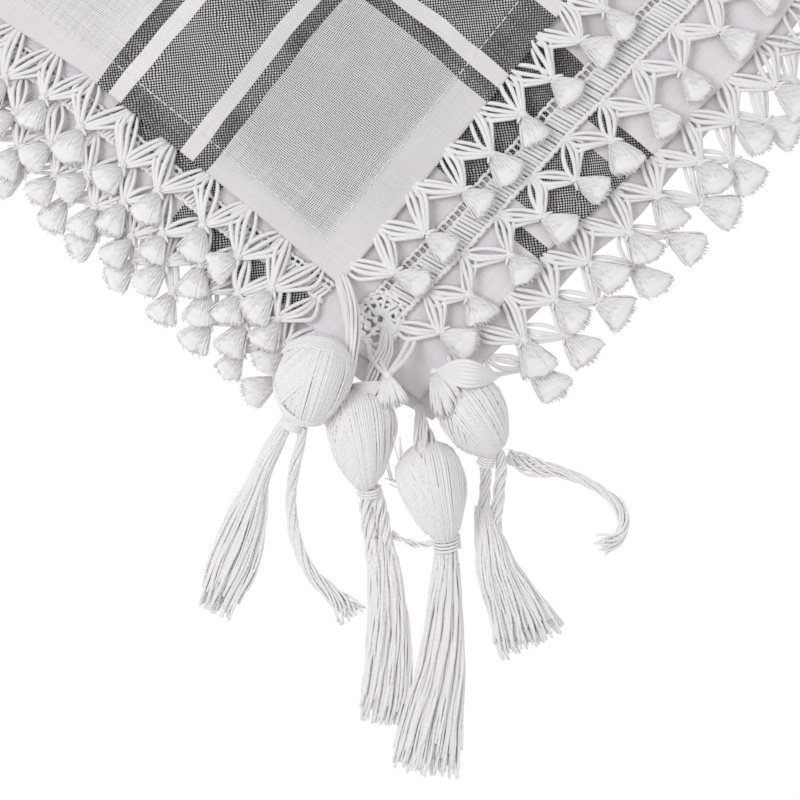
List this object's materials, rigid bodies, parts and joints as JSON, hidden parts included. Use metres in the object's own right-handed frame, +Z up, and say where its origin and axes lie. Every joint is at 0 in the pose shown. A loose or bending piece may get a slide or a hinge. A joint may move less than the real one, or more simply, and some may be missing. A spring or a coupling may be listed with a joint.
{
  "type": "keffiyeh headscarf",
  "caption": "Square cotton keffiyeh headscarf folded in quarters and laid flat, with black woven stripe bands, a knotted fringe along its edges and wound tassels at its corners.",
  "frame": {"origin": "on the surface the scarf lies on, under the middle of the bounding box", "axes": "+Z up, square to the folded cloth; +X along the front edges towards the fold on the right; +Y along the side edges towards the fold at the back; the four stacked corners with their tassels point to -X, -Y"},
  "size_m": [0.641, 0.646, 0.0306],
  "materials": {
    "striped_cloth": "thin matt cotton plain weave, white with woven black stripe bands",
    "fringe_yarn": "soft plied white cotton yarn, knotted and cut",
    "tassel_yarn": "white cotton yarn, wound tight on the bulbs and loose in the skirts"
  },
  "bodies": {
    "root": {"top_layer": "striped_cloth", "under_layers": "striped_cloth", "fringe_1_front": "fringe_yarn", "fringe_2_front": "fringe_yarn", "fringe_3_front": "fringe_yarn", "fringe_4_front": "fringe_yarn", "fringe_1_side": "fringe_yarn", "fringe_2_side": "fringe_yarn", "fringe_3_side": "fringe_yarn", "fringe_4_side": "fringe_yarn", "heading_2_front": "fringe_yarn", "heading_2_side": "fringe_yarn", "corner_patch_2": "fringe_yarn", "bulb_1": "tassel_yarn", "bulb_2": "tassel_yarn", "bulb_3": "tassel_yarn", "bulb_4": "tassel_yarn", "neck_1": "tassel_yarn", "skirt_1": "tassel_yarn", "strand_1": "tassel_yarn", "neck_2": "tassel_yarn", "cord_2_left": "tassel_yarn", "cord_2_right": "tassel_yarn", "skirt_2": "tassel_yarn", "neck_3": "tassel_yarn", "skirt_3": "tassel_yarn", "strand_3": "tassel_yarn", "neck_4": "tassel_yarn", "cord_4_left": "tassel_yarn", "cord_4_right": "tassel_yarn", "skirt_4": "tassel_yarn", "strand_4": "tassel_yarn"}
  },
  "joints": []
}
